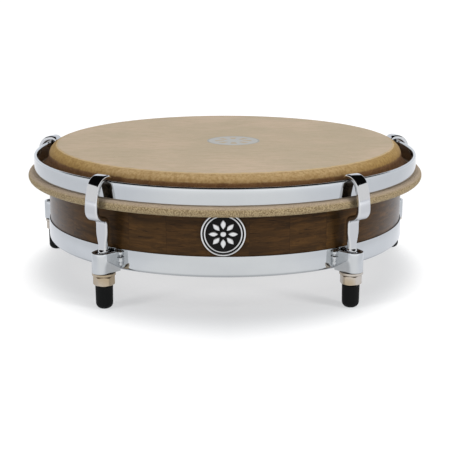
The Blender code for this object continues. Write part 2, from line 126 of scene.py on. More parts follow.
WASHER_RADIUS = 0.00775
WASHER_BORE = 0.0047
WASHER_BOTTOM = 0.0223
WASHER_TOP = 0.0240
NUT_ACROSS_FLATS = 0.0127
NUT_CORNER_RADIUS = 0.00705
NUT_BORE = 0.00405
NUT_BOTTOM = 0.0157
NUT_TOP = 0.0220
NUT_CHAMFER_ANGLE = 30.0
NUT_FACE_RADIUS = 0.0059
NUT_TURNS = (37.9, 8.5, 21.0, 50.0, 2.0)
FOOT_RADIUS = 0.00575
FOOT_TOP = 0.0154
FOOT_FLAT_RADIUS = 0.0018
FOOT_CORNER_RADIUS = 0.0038
FOOT_BORE = 0.0044
FOOT_SOLE = 0.0025

BADGE_RADIUS = 0.0142
BADGE_ANGLE = -91.4
BADGE_HEIGHT = 0.0534
BADGE_FIELD_DEPTH = 0.0006
BADGE_RIM_DEPTH = 0.0012
BADGE_INNER_RING_AT = 0.0120

# Bounds of the skin's tones: distances from the axis or heights, each from where a tone starts to where it is full
CROWN_BORDER = (0.1195, 0.1215)
# A painted highlight: a thin pale line along the crown's border, at this distance from the axis and this reach on
# each side.
CROWN_HIGHLIGHT_AT = 0.1209
CROWN_HIGHLIGHT_REACH = 0.0009
# Painted shade on the crown: it darkens between these values of |x|, towards the drum's sides left and right.
CROWN_SIDE_SHADE = (0.06, 0.115)
# Painted shade on the crown: it darkens from the first height down to the second, towards the crown's lower edge.
CROWN_LOWER_SHADE = (0.0893, 0.0868)
# The collar's dark brown is partly the skin's own tone and partly painted shade in the gap between the hoop and the
# crown.
COLLAR_EDGE = (0.0864, 0.0850)
WRAP_FROM = (0.1335, 0.1352)
WRAP_BELOW = (0.0765, 0.0745)
WRAP_LIGHT_EDGE = (0.0710, 0.0730)
UNDERSIDE_BELOW = (0.0903, 0.0901)
UNDERSIDE_WITHIN = (0.1190, 0.1180)

# Fine detail that only the looks have
MERGE_DISTANCE = 1e-6
SHARP_ANGLE = math.radians(30.0)
RING_SEGMENTS = 288
LUG_SEGMENTS = 48
EDGE_STEPS = 4
THREAD_PITCH = 0.0254 / 18
THREAD_DEPTH = 0.00075
THREAD_RUNOUT = 0.0015
THREAD_STEPS_PER_TURN = 8
STRAP_EDGE_STEPS = 6
WELD_VOXEL = 0.00022
# Weld runs on each leg of a bracket: number of drops, height of the lowest, rise and drop radius
WELD_RUNS = ((4, 0.0290, 0.0036, 0.00175), (2, 0.0360, 0.0004, 0.00200))
PETAL_START = 0.0030
PETAL_LENGTH = 0.0064
PETAL_WIDTH = 0.0032
PETAL_THICKNESS = 0.0004
PETAL_STEPS = 12
BADGE_DOT_RADIUS = 0.0018

# A plain rosette, printed in faded grey on the head
PRINT_AT = (0.006, -0.002)
PRINT_RADIUS = 0.0192
PRINT_PETALS = 8

# Camera, fitted to the photograph: a point on the drum's axis, and how far and from where it is seen
AIM = Vector((0.0, 0.0, 0.028))
CAMERA_DISTANCE = 0.87538
CAMERA_ELEVATION = math.radians(13.8)
CAMERA_ANGLE = math.radians(-90.9)
SENSOR = 36.0
LENS = 1187.16 / 450 * SENSOR

# Light: name, angle about the drum, distance, height, width and height of the lit area, and power in watts
LIT_POINT = Vector((0.0, 0.0, 0.05))
LIGHTS = (
    ("left_strip", -142.0, 1.6, 0.75, (0.35, 1.5), 13.0),
    ("right_strip", -38.0, 1.6, 0.75, (0.35, 1.5), 19.0),
    ("top_panel", 90.0, 0.01, 1.7, (1.2, 1.2), 10.0),
    ("back_panel", 80.0, 1.6, 0.8, (1.2, 0.8), 6.5),
)
WHITE = (1.0, 1.0, 1.0, 1.0)
WORLD_LIGHT = 0.22
CEILING_FROM = (0.50, 0.53)
CEILING_GREY = 0.004
BACK_WALL_FROM = (-0.1, 0.6)
BACK_WALL = (0.89, 0.92, 0.97, 1.0)

# The floor's glow, with a painted shadow in it: its dimmer level near the drum and its level far off, and the dim
# ring of the drum's painted shadow.
# A pair is a value before the drum and one beside it, or the two distances between which a tone changes.
FLOOR_GLOW = 0.65
FLOOR_GLOW_ROUND = (0.72, 0.85)
FLOOR_GLOW_BEYOND = 0.73
FLOOR_GLOW_FAR = 1.02
# Cool tint of the painted shadow near the drum.
FLOOR_SHADE_TINT = (0.955, 0.972, 1.0, 1.0)
FLOOR_GREYS = (0.32, 0.34)
FLOOR_REACH = 6.0
FLOOR_MIRRORED_BESIDE = (0.79, 0.81, 0.86, 1.0)
BESIDE_FROM = (0.35, 0.85)
FLOOR_FADE_START = (0.14, 0.115)
FLOOR_FADE_END = (0.20, 0.160)
FLOOR_BEYOND = (0.20, 0.30)
FLOOR_FAR = (0.5, 1.2)
SHADOW_RING = (0.072, 0.128)
SHADOW_REACH = (0.056, 0.025)
SHADOW_DEPTH = (0.21, 0.12)


def tint(red, green, blue):
    """A colour as seen on a screen, 0 to 255, in the linear values that a shader takes."""
    def straight(value):
        share = value / 255.0
        return share / 12.92 if share <= 0.04045 else ((share + 0.055) / 1.055) ** 2.4
    return (straight(red), straight(green), straight(blue), 1.0)


def grey(value):
    """A grey, given in linear values."""
    return (value, value, value, 1.0)


class Wire:
    """One output of a node. Arithmetic on it adds Math nodes to its tree."""

    def __init__(self, graph, socket):
        self.graph = graph
        self.socket = socket

    def maths(self, operation, *others):
        """A Math node on this value and up to two others."""
        return self.graph.node("ShaderNodeMath", {"operation": operation}, dict(enumerate((self,) + others)))

    def other(self, key):
        """Another output of the same node."""
        return Wire(self.graph, self.graph.find(self.socket.node.outputs, key))

    def __add__(self, other):
        return self.maths("ADD", other)

    __radd__ = __add__

    def __sub__(self, other):
        return self.maths("SUBTRACT", other)

    def __rsub__(self, other):
        return (self * -1.0) + other

    def __mul__(self, other):
        return self.maths("MULTIPLY", other)

    __rmul__ = __mul__

    def __truediv__(self, other):
        return self.maths("DIVIDE", other)

    def __rtruediv__(self, other):
        return self.maths("POWER", -1.0) * other

    def __pow__(self, other):
        return self.maths("POWER", other)


class Graph:
    """A node tree that grows by one method: a node's type, its settings and the values of its sockets."""

    def __init__(self, tree):
        self.tree = tree

    @staticmethod
    def find(sockets, key):
        """A socket by its number, its identifier or its name."""
        if isinstance(key, int):
            return sockets[key]
        for socket in sockets:
            if socket.identifier == key:
                return socket
        return sockets[key]

    def node(self, kind, settings=None, values=None, output=0):
        """Add a node and return one of its outputs."""
        made = self.tree.nodes.new(kind)
        for name, value in (settings or {}).items():
            setattr(made, name, value)
        for key, value in (values or {}).items():
            socket = self.find(made.inputs, key)
            if isinstance(value, Wire):
                self.tree.links.new(value.socket, socket)
            else:
                socket.default_value = value
        return Wire(self, self.find(made.outputs, output))

    def parts(self, vector):
        """The three numbers of a vector."""
        first = self.node("ShaderNodeSeparateXYZ", None, {0: vector})
        return first, first.other(1), first.other(2)

    def from_axis(self, place):
        """The three numbers of a place, and its distance from the Z axis."""
        x, y, z = self.parts(place)
        return x, y, z, (x * x + y * y).maths("SQRT")

    def vector(self, x=0.0, y=0.0, z=0.0):
        """A vector of three numbers."""
        return self.node("ShaderNodeCombineXYZ", None, {0: x, 1: y, 2: z})

    def between(self, value, low, high):
        """0 where value is at low, 1 at high, and a smooth rise between. It may also fall from low to high."""
        values = {"Value": value, "From Min": low, "From Max": high}
        return self.node("ShaderNodeMapRange", {"interpolation_type": "SMOOTHSTEP"}, values)

    def noise(self, vector, scale, detail=2.0, roughness=0.5, distortion=0.0):
        """Soft noise from 0 to 1."""
        values = {"Vector": vector, "Scale": scale, "Detail": detail, "Roughness": roughness,
                  "Distortion": distortion}
        return self.node("ShaderNodeTexNoise", None, values, "Fac")

    def mix(self, share, first, second, blend="MIX"):
        """Blend two colours."""
        return self.node("ShaderNodeMix", {"data_type": "RGBA", "blend_type": blend},
                         {"Factor_Float": share, "A_Color": first, "B_Color": second}, "Result_Color")

    def stretch(self, vector, scale):
        """A vector times another, number by number."""
        return self.node("ShaderNodeVectorMath", {"operation": "MULTIPLY"}, {0: vector, 1: scale})


# Geometry Nodes trees


def geometry_graph(name, inputs):
    """A new Geometry Nodes tree with these named inputs, as its graph and the wires of its inputs."""
    tree = bpy.data.node_groups.new(name, "GeometryNodeTree")
    tree.interface.new_socket("Geometry", in_out="INPUT", socket_type="NodeSocketGeometry")
    for label, kind in inputs.items():
        tree.interface.new_socket(label, in_out="INPUT", socket_type="NodeSocket" + kind)
    tree.interface.new_socket("Geometry", in_out="OUTPUT", socket_type="NodeSocketGeometry")
    graph = Graph(tree)
    entry = tree.nodes.new("NodeGroupInput")
    given = {socket.name: Wire(graph, socket) for socket in entry.outputs if socket.name}
    return graph, given


def close_tree(graph, geometry, material):
    """End a tree: real geometry, its material and the output."""
    real = graph.node("GeometryNodeRealizeInstances", None, {"Geometry": geometry})
    dressed = graph.node("GeometryNodeSetMaterial", None, {"Geometry": real, "Material": material})
    last = graph.tree.nodes.new("NodeGroupOutput")
    graph.tree.links.new(dressed.socket, last.inputs[0])
    return graph.tree


def turning_tree():
    """Turn a profile, given as a row of points in the XZ plane, about the Z axis."""
    graph, given = geometry_graph("turn_profile", {"Points": "Int", "Segments": "Int", "Material": "Material"})
    grid = graph.node("GeometryNodeMeshGrid", None, {
        "Size X": 1.0, "Size Y": 1.0, "Vertices X": given["Points"], "Vertices Y": given["Segments"] + 1})
    position = graph.node("GeometryNodeInputPosition")
    x, y, _ = graph.parts(position)
    column = ((x + 0.5) * (given["Points"] - 1)).maths("ROUND")
    profile = graph.node("GeometryNodeSampleIndex", {"data_type": "FLOAT_VECTOR", "domain": "POINT"},
                         {"Geometry": given["Geometry"], "Value": position, "Index": column})
    turned = graph.node("ShaderNodeVectorRotate", {"rotation_type": "Z_AXIS"},
                        {"Vector": profile, "Angle": (y + 0.5) * math.tau})
    shaped = graph.node("GeometryNodeSetPosition", None, {"Geometry": grid, "Position": turned})
    merged = graph.node("GeometryNodeMergeByDistance", None, {"Geometry": shaped, "Distance": MERGE_DISTANCE})
    return close_tree(graph, merged, given["Material"])


def lug_tree():
    """Cut a right-hand thread round a piece's own Z axis, then set the piece at each lug of the drum."""
    graph, given = geometry_graph("set_at_lugs", {
        "Count": "Int", "First Angle": "Float", "Step": "Float", "Circle Radius": "Float",
        "Thread Pitch": "Float", "Thread Depth": "Float", "Thread Top": "Float", "Thread Runout": "Float",
        "Material": "Material"})
    x, y, z = graph.parts(graph.node("GeometryNodeInputPosition"))
    turns = z / given["Thread Pitch"] - y.maths("ARCTAN2", x) / math.tau
    groove = (turns.maths("FRACT") - 0.5).maths("ABSOLUTE") * 2.0
    cut = graph.between(z, given["Thread Top"], given["Thread Top"] - given["Thread Runout"])
    outward = graph.node("ShaderNodeVectorMath", {"operation": "NORMALIZE"}, {0: graph.vector(x, y)})
    inward = graph.node("ShaderNodeVectorMath", {"operation": "SCALE"},
                        {0: outward, "Scale": groove * cut * given["Thread Depth"] * -1.0})
    threaded = graph.node("GeometryNodeSetPosition", None, {"Geometry": given["Geometry"], "Offset": inward})
    angle = graph.node("GeometryNodeInputIndex") * given["Step"] + given["First Angle"]
    spot = graph.vector(angle.maths("COSINE") * given["Circle Radius"], angle.maths("SINE") * given["Circle Radius"])
    points = graph.node("GeometryNodePoints", None, {"Count": given["Count"], "Position": spot})
    turn = graph.node("FunctionNodeEulerToRotation", None, {0: graph.vector(0.0, 0.0, angle)})
    placed = graph.node("GeometryNodeInstanceOnPoints", None,
                        {"Points": points, "Instance": threaded, "Rotation": turn})
    return close_tree(graph, placed, given["Material"])


def bead_tree():
    """Lay a chain of weld drops of uneven size up a line."""
    graph, given = geometry_graph("lay_weld", {
        "Drops": "Int", "Foot": "Vector", "Rise": "Float", "Drop Radius": "Float", "Seed": "Int",
        "Material": "Material"})
    index = graph.node("GeometryNodeInputIndex")
    share = index / (given["Drops"] - 1)
    foot_x, foot_y, foot_z = graph.parts(given["Foot"])
    points = graph.node("GeometryNodePoints", None, {
        "Count": given["Drops"], "Position": graph.vector(foot_x, foot_y, foot_z + share * given["Rise"])})
    size = graph.node("FunctionNodeRandomValue", {"data_type": "FLOAT"},
                      {"Min_001": 0.72, "Max_001": 1.12, "Seed": given["Seed"]}, "Value_001")
    drop = graph.node("GeometryNodeMeshUVSphere", None,
                      {"Segments": 16, "Rings": 10, "Radius": given["Drop Radius"]})
    placed = graph.node("GeometryNodeInstanceOnPoints", None, {
        "Points": points, "Instance": drop, "Scale": graph.vector(size, size, size)})
    return close_tree(graph, placed, given["Material"])


def badge_tree():
    """Repeat a piece round the badge's middle and bend the whole to the shell."""
    graph, given = geometry_graph("bend_to_shell", {
        "Count": "Int", "Back Radius": "Float", "Angle": "Float", "Height": "Float", "Material": "Material"})
    turn = graph.node("GeometryNodeInputIndex") * math.tau / given["Count"]
    points = graph.node("GeometryNodePoints", None, {"Count": given["Count"]})
    rotation = graph.node("FunctionNodeEulerToRotation", None, {0: graph.vector(0.0, 0.0, turn)})
    placed = graph.node("GeometryNodeInstanceOnPoints", None,
                        {"Points": points, "Instance": given["Geometry"], "Rotation": rotation})
    real = graph.node("GeometryNodeRealizeInstances", None, {"Geometry": placed})
    across, up, out = graph.parts(graph.node("GeometryNodeInputPosition"))
    angle = given["Angle"] + across / given["Back Radius"]
    reach = given["Back Radius"] + out
    spot = graph.vector(angle.maths("COSINE") * reach, angle.maths("SINE") * reach, given["Height"] + up)
    bent = graph.node("GeometryNodeSetPosition", None, {"Geometry": real, "Position": spot})
    return close_tree(graph, bent, given["Material"])


def hide_tree():
    """Work a skin's surface: low waves and small lumps along its wrapped edge."""
    graph, given = geometry_graph("work_hide", {
        "Wave": "Float", "Lump": "Float", "Wrap Starts": "Float", "Wrap Full": "Float", "Material": "Material"})
    position = graph.node("GeometryNodeInputPosition")
    _, _, _, radius = graph.from_axis(position)
    wrap = graph.between(radius, given["Wrap Starts"], given["Wrap Full"])
    wave = (graph.noise(position, 22.0) - 0.5) * given["Wave"]
    lump = (graph.noise(position, 190.0, 3.0) - 0.68) * given["Lump"] * wrap
    normal = graph.node("GeometryNodeInputNormal")
    offset = graph.node("ShaderNodeVectorMath", {"operation": "SCALE"}, {0: normal, "Scale": wave * wrap + lump})
    worked = graph.node("GeometryNodeSetPosition", None, {"Geometry": given["Geometry"], "Offset": offset})
    return close_tree(graph, worked, given["Material"])


# Making pieces


def put_in_scene(name, data):
    """A new object of the scene, made from a mesh, lamp or camera."""
    made = bpy.data.objects.new(name, data)
    bpy.context.scene.collection.objects.link(made)
    return made


def plain_mesh(source):
    """The mesh that an object's modifiers give. The object itself is removed."""
    depsgraph = bpy.context.evaluated_depsgraph_get()
    mesh = bpy.data.meshes.new_from_object(source.evaluated_get(depsgraph), depsgraph=depsgraph)
    bpy.data.objects.remove(source)
    return mesh


def grow(name, base, tree, values):
    """Run a Geometry Nodes tree on a base mesh and return the result as a plain mesh object."""
    source = put_in_scene(name + "_base", base)
    modifier = source.modifiers.new("tree", "NODES")
    modifier.node_group = tree
    for item in tree.interface.items_tree:
        if item.in_out == "INPUT" and item.name in values:
            modifier[item.identifier] = values[item.name]
    mesh = plain_mesh(source)
    mesh.name = name
    tidy_mesh(mesh)
    return put_in_scene(name, mesh)


def tidy_mesh(mesh):
    """Merge doubles, point the faces outwards and shade the mesh smooth between its sharp edges."""
    bm = bmesh.new()
    bm.from_mesh(mesh)
    bmesh.ops.remove_doubles(bm, verts=bm.verts, dist=MERGE_DISTANCE)
    bmesh.ops.recalc_face_normals(bm, faces=bm.faces)
    bm.to_mesh(mesh)
    bm.free()
    mesh.shade_smooth()
    mesh.set_sharp_from_angle(angle=SHARP_ANGLE)


def arc(centre, radius, start, end, steps):
    """Points along an arc in a plane, angles in degrees, both ends included."""
    points = []
    for step in range(steps + 1):
        angle = math.radians(start + (end - start) * step / steps)
        points.append((centre[0] + radius * math.cos(angle), centre[1] + radius * math.sin(angle)))
    return points


def rounded(corners, closed=True):
    """An outline with its corners rounded: each corner is (across, height, radius)."""
    outline = []
    count = len(corners)
    for i, (x, z, radius) in enumerate(corners):
        if radius == 0.0 or (not closed and i in (0, count - 1)):
            outline.append((x, z))
            continue
        here = Vector((x, z))
        back = (Vector(corners[i - 1][:2]) - here).normalized()
        ahead = (Vector(corners[(i + 1) % count][:2]) - here).normalized()
        half = back.angle(ahead) / 2
        reach = radius / math.tan(half)
        centre = here + (back + ahead).normalized() * radius / math.sin(half)
        start = here + back * reach - centre
        end = here + ahead * reach - centre
        sweep = start.angle_signed(end)
        for step in range(EDGE_STEPS + 1):
            turn = Matrix.Rotation(-sweep * step / EDGE_STEPS, 2)
            outline.append(tuple(centre + turn @ start))
    return outline


def turned(name, outline, material, segments=RING_SEGMENTS):
    """A piece turned about the Z axis from an outline of (radius, height) points."""
    row = list(outline) + [outline[0]]
    base = bpy.data.meshes.new(name)
    base.from_pydata([(radius, 0.0, height) for radius, height in row], [], [])
    return grow(name, base, TURNING, {"Points": len(row), "Segments": segments, "Material": material})


def at_lugs(name, base, material, number=None, threaded=False):
    """Set a piece, made in the lug's own frame, at every lug, or at the lug of this number."""
    first = FIRST_LUG_ANGLE + LUG_STEP * ((number or 1) - 1)
    return grow(name, base, AT_LUGS, {
        "Count": 1 if number else LUG_COUNT, "First Angle": math.radians(first), "Step": math.radians(LUG_STEP),
        "Circle Radius": ROD_CIRCLE_RADIUS, "Thread Pitch": THREAD_PITCH,
        "Thread Depth": THREAD_DEPTH if threaded else 0.0, "Thread Top": ROD_THREAD_TOP,
        "Thread Runout": THREAD_RUNOUT, "Material": material})


def take_mesh(piece):
    """Take a piece's mesh out of the scene, to be the base of another."""
    mesh = piece.data
    bpy.data.objects.remove(piece)
    return mesh


def with_modifiers(name, mesh, *modifiers):
    """A mesh after modifiers, each given as a type and its settings."""
    source = put_in_scene(name, mesh)
    for kind, settings in modifiers:
        modifier = source.modifiers.new(kind.lower(), kind)
        for key, value in settings.items():
            setattr(modifier, key, value)
    return plain_mesh(source)


def lofted(name, rings):
    """A closed mesh skinned over a row of rings, with both ends filled."""
    verts = [point for ring in rings for point in ring]
    size = len(rings[0])
    faces = []
    for row in range(len(rings) - 1):
        for i in range(size):
            j = (i + 1) % size
            faces.append((row * size + i, row * size + j, (row + 1) * size + j, (row + 1) * size + i))
    faces.append(tuple(range(size))[::-1])
    faces.append(tuple(range(len(verts) - size, len(verts))))
    mesh = bpy.data.meshes.new(name)
    mesh.from_pydata(verts, [], faces)
    return mesh


def dress(piece, body, slot, *nodes):
    """Say which body a piece moves with and which solids it stands for; slot, the name of its finish, is not used.
    """
    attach(piece, body)
    if nodes:
        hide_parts(*nodes)
    return piece


def each(name):
    """The names of the five numbered solids of one kind."""
    return [f"{name}_{number}" for number in range(1, LUG_COUNT + 1)]


# Finishes


def new_finish(name):
    """A new material, its graph and its object coordinates."""
    material = bpy.data.materials.new(name)
    material.use_nodes = True
    material.node_tree.nodes.clear()
    graph = Graph(material.node_tree)
    return material, graph, graph.node("ShaderNodeTexCoord", output="Object")


def finish_surface(material, graph, values, height=None, distance=0.0001):
    """Close a material with one Principled shader, and a bump if a height is given."""
    if height is not None:
        values["Normal"] = graph.node("ShaderNodeBump", None, {"Distance": distance, "Height": height})
    shader = graph.node("ShaderNodeBsdfPrincipled", None, values)
    out = material.node_tree.nodes.new("ShaderNodeOutputMaterial")
    material.node_tree.links.new(shader.socket, out.inputs["Surface"])
    return material


def hide_finish():
    """Natural skin: greige playing surface with a faded print, ochre crown with painted shade and a painted
    highlight, dark collar partly painted shade, speckled wrap.
    """
    material, graph, place = new_finish("hide")
    x, y, z, radius = graph.from_axis(place)
    cloud = graph.noise(place, 16.0, 4.0, 0.6)
    fibre = graph.noise(graph.stretch(place, (1.0, 3.0, 3.0)), 90.0, 6.0, 0.7)
    grain = graph.noise(place, 520.0, 3.0, 0.6)
    speckle = graph.noise(place, 1300.0, 4.0, 0.75)

    face = graph.mix(graph.between(cloud, 0.35, 0.65), tint(177, 161, 137), tint(190, 170, 147))
    face = graph.mix(graph.between(fibre, 0.40, 0.70) * 0.6, face, tint(168, 152, 126))
    face = graph.mix(graph.between(grain, 0.45, 0.8) * 0.25, face, tint(205, 188, 160))

    from_print = ((x - PRINT_AT[0]) ** 2.0 + (y - PRINT_AT[1]) ** 2.0).maths("SQRT")
    turn = (y - PRINT_AT[1]).maths("ARCTAN2", x - PRINT_AT[0])
    petals = (turn * PRINT_PETALS).maths("COSINE") * 0.5 + 0.5
    disc = graph.between(from_print, PRINT_RADIUS, PRINT_RADIUS - 0.0004)
    edge = disc * graph.between(from_print, PRINT_RADIUS - 0.0016, PRINT_RADIUS - 0.0012)
    rosette = graph.between((from_print / PRINT_RADIUS - 0.52).maths("ABSOLUTE"), 0.20, 0.14)
    rosette = rosette * graph.between(petals, 0.40, 0.55)
    ink = graph.mix(edge, tint(176, 180, 182), tint(150, 154, 154))
    face = graph.mix(disc * (1.0 - rosette) * (0.92 - 0.25 * fibre), face, ink)

    fuzz = (fibre - 0.5) * 0.0035 + (grain - 0.5) * 0.002
    crown = graph.between(radius + fuzz, *CROWN_BORDER)
    ochre = graph.mix(graph.between(grain, 0.3, 0.7), tint(148, 121, 79), tint(176, 150, 109))
    side_shaded_ochre = graph.mix(graph.between(grain, 0.3, 0.7), tint(138, 108, 58), tint(164, 134, 80))
    # Painted shade: the ochre darkens towards the drum's sides left and right.
    ochre = graph.mix(graph.between(x.maths("ABSOLUTE"), *CROWN_SIDE_SHADE), ochre, side_shaded_ochre)
    # Painted shade: the ochre darkens towards the crown's lower edge.
    ochre = graph.mix(graph.between(z, *CROWN_LOWER_SHADE) * 0.35, ochre, tint(120, 88, 40))
    # Painted highlight: a thin pale line along the crown's border.
    from_highlight = (radius + fuzz * 0.5 - CROWN_HIGHLIGHT_AT).maths("ABSOLUTE")
    ochre = graph.mix(graph.between(from_highlight, CROWN_HIGHLIGHT_REACH, 0.0) * 0.55, ochre, tint(216, 192, 148))
    colour = graph.mix(crown, face, ochre)

    # The collar's dark brown is partly the skin's own tone and partly painted shade in the gap between the hoop and
    # the crown.
    collar = graph.between(z + fuzz * 0.4, *COLLAR_EDGE)
    shade = graph.mix(graph.between(fibre, 0.3, 0.7), tint(90, 62, 38), tint(114, 82, 52))
    shade = graph.mix(graph.between(speckle, 0.58, 0.66) * 0.6, shade, tint(170, 132, 76))
    colour = graph.mix(collar, colour, shade)

    wrap = graph.between(radius, *WRAP_FROM) * graph.between(z, *WRAP_BELOW)
    tan = graph.mix(graph.between(speckle, 0.42, 0.58), tint(112, 94, 66), tint(168, 151, 117))
    tan = graph.mix(graph.between(z, *WRAP_LIGHT_EDGE) * 0.55, tan, tint(184, 166, 150))
    colour = graph.mix(wrap, colour, tan)
    inside = graph.between(z, *UNDERSIDE_BELOW) * graph.between(radius, *UNDERSIDE_WITHIN)
    colour = graph.mix(inside, colour, tint(196, 180, 150))

    return finish_surface(material, graph, {
        "Base Color": colour,
        "Roughness": 0.62 + 0.15 * grain,
        "Specular IOR Level": 0.3,
    }, height=fibre * 0.6 + grain * 0.4 + speckle * wrap * 1.5, distance=0.00025)


def wood_finish():
    """Walnut-stained blocks, laid end to end round the shell, under lacquer; bare inside."""
    material, graph, place = new_finish("walnut")
    x, y, z, radius = graph.from_axis(place)
    along = y.maths("ARCTAN2", x) * SHELL_RADIUS
    block_length = math.tau * SHELL_RADIUS / 30
    block = (along / block_length).maths("FLOOR")
    tone = graph.node("ShaderNodeTexWhiteNoise", {"noise_dimensions": "1D"}, {"W": block + 0.5})
    shifted = graph.vector(along + block * 0.37, z + tone * 0.05, radius)
    grain = graph.noise(graph.stretch(shifted, (0.16, 1.0, 1.0)), 420.0, 6.0, 0.65, 0.6)
    bands = graph.noise(graph.stretch(shifted, (0.10, 1.0, 1.0)), 110.0, 3.0, 0.5, 0.8)
    pores = graph.noise(graph.stretch(shifted, (0.07, 1.0, 1.0)), 1500.0, 2.0, 0.5)

    colour = graph.mix(graph.between(bands, 0.3, 0.7), tint(50, 35, 19), tint(71, 50, 26))
    colour = graph.mix(graph.between(grain, 0.40, 0.74) * 0.7, colour, tint(98, 68, 34))
    dark = graph.mix(tone * 0.55, colour, tint(38, 25, 16))
    dark = graph.mix(graph.between(pores, 0.62, 0.72) * 0.7, dark, tint(26, 16, 10))
    fraction = (along / block_length).maths("FRACT")
    joint = graph.between((fraction - 0.5).maths("ABSOLUTE"), 0.492, 0.498)
    dark = graph.mix(joint * 0.5, dark, tint(24, 15, 10))
    bare = graph.between(radius, 0.1205, 0.1190)
    colour = graph.mix(bare * 0.55, dark, tint(150, 112, 74))
    edgeways = graph.node("ShaderNodeLayerWeight", None, {"Blend": 0.5}, "Facing")
    return finish_surface(material, graph, {
        "Base Color": colour,
        "Roughness": 0.34 + 0.12 * grain + 0.25 * bare,
        "Specular IOR Level": 0.06,
        "Coat Weight": (1.0 - bare) * (0.04 + 0.45 * graph.between(edgeways, 0.30, 0.75)),
        "Coat Roughness": 0.10,
    }, height=grain * 0.5 + graph.between(pores, 0.62, 0.72) * -0.6, distance=0.00008)


def inside_of_hook(graph, place):
    """1 on the inner face of a hook's crown and bow, and 0 elsewhere; there the chrome gets a painted shade and is
    rougher.
    """
    _, _, z, radius = graph.from_axis(place)
    inner_at = (0.0809 - z) * 0.138 + 0.1431
    bow = graph.between(radius, inner_at + 0.0004, inner_at) * graph.between(z, 0.0640, 0.0660)
    from_centre = ((radius - CROWN_FRONT_AT) ** 2.0 + (z - CROWN_TOP + CROWN_FRONT_RADIUS) ** 2.0).maths("SQRT")
    crown = graph.between(from_centre, 0.0082, 0.0077) * graph.between(radius, 0.1355, 0.1375)
    above = graph.between(z, 0.0780, 0.0790)
    return above * crown + (1.0 - above) * bow


def chrome_finish(name, dim, bright, hook=False):
    """Chrome plate with a faint polish haze, between two tones."""
    material, graph, place = new_finish(name)
    haze = graph.noise(place, 60.0, 3.0, 0.6)
    streak = graph.noise(graph.stretch(place, (1.0, 1.0, 6.0)), 900.0, 2.0, 0.5)
    colour = graph.mix(haze, dim, bright)
    roughness = 0.035 + 0.03 * haze + 0.015 * streak
    if hook:
        # The inner face gets a painted shade, a dark base colour, so the hoop mirrors a dark arch beside each hook;
        # it is also made rougher.
        rougher_and_shaded = inside_of_hook(graph, place)
        colour = graph.mix(rougher_and_shaded, colour, tint(84, 78, 72))
        roughness = roughness + 0.2 * rougher_and_shaded
    return finish_surface(material, graph, {"Base Color": colour, "Metallic": 1.0, "Roughness": roughness})


def zinc_finish():
    """Pale yellow zinc plate, satin, a little deeper in tone here and there."""
    material, graph, place = new_finish("yellow_zinc")
    cloud = graph.noise(place, 70.0, 1.0, 0.5)
    scratch = graph.noise(graph.stretch(place, (1.0, 1.0, 9.0)), 1600.0, 3.0, 0.6)
    colour = graph.mix(graph.between(cloud, 0.34, 0.66), tint(192, 185, 177), tint(170, 154, 130))
    return finish_surface(material, graph, {
        "Base Color": colour,
        "Metallic": 1.0,
        "Roughness": 0.16 + 0.08 * scratch,
    }, height=scratch, distance=0.000005)


def rubber_finish():
    """Matte black moulded rubber."""
    material, graph, place = new_finish("black_rubber")
    grain = graph.noise(place, 1400.0, 3.0, 0.6)
    dust = graph.noise(place, 160.0, 4.0, 0.6)
    colour = graph.mix(graph.between(dust, 0.5, 0.8) * 0.5, tint(12, 13, 13), tint(23, 24, 25))
    return finish_surface(material, graph, {
        "Base Color": colour,
        "Roughness": 0.55 + 0.2 * grain,
        "Specular IOR Level": 0.12,
    }, height=grain, distance=0.00003)


def mottled_finish(name, pattern, tones, roughness, settings, stretch=1.0, bump=None):
    """A finish whose colour and roughness follow one noise, which may also raise it."""
    material, graph, place = new_finish(name)
    mottle = graph.noise(graph.stretch(place, (1.0, 1.0, stretch)), *pattern)
    values = {"Base Color": graph.mix(mottle, *tones), "Roughness": roughness[0] + roughness[1] * mottle}
    return finish_surface(material, graph, values | settings, height=mottle if bump else None, distance=bump)


def enamel_finish():
    """Black enamel of the badge's field."""
    return mottled_finish("black_enamel", (700.0, 2.0, 0.5), (tint(18, 17, 17), tint(26, 25, 25)), (0.30, 0.1),
                          {"Specular IOR Level": 0.05}, bump=0.00001)


def silver_finish():
    """Brushed bright metal of the badge's rings and rosette."""
    return mottled_finish("badge_metal", (900.0, 3.0, 0.6), (tint(205, 206, 208), tint(226, 227, 228)),
                          (0.28, 0.12), {"Metallic": 1.0}, stretch=14.0, bump=0.00001)


def steel_finish():
    """Plain steel wire of the flesh hoop."""
    return mottled_finish("hoop_steel", (500.0, 4.0, 0.6), (tint(120, 120, 120), tint(160, 160, 158)),
                          (0.35, 0.2), {"Metallic": 1.0})


# Pieces turned about the drum's axis


def sheet_outline(path, thickness):
    """Outline of a sheet of even thickness whose middle follows a path that starts on the axis."""
    upper = []
    lower = []
    for i, point in enumerate(path):
        before = Vector(path[max(i - 1, 0)])
        after = Vector(path[min(i + 1, len(path) - 1)])
        along = (after - before).normalized()
        across = Vector((-along.y, along.x)) * (thickness / 2)
        if i == 0:
            across = Vector((0.0, thickness / 2))
        upper.append(tuple(Vector(point) + across))
        lower.append(tuple(Vector(point) - across))
    tail = Vector(path[-1])
    ahead = (tail - Vector(path[-2])).normalized() * thickness / 2
    return upper + [tuple(tail + ahead)] + lower[::-1]


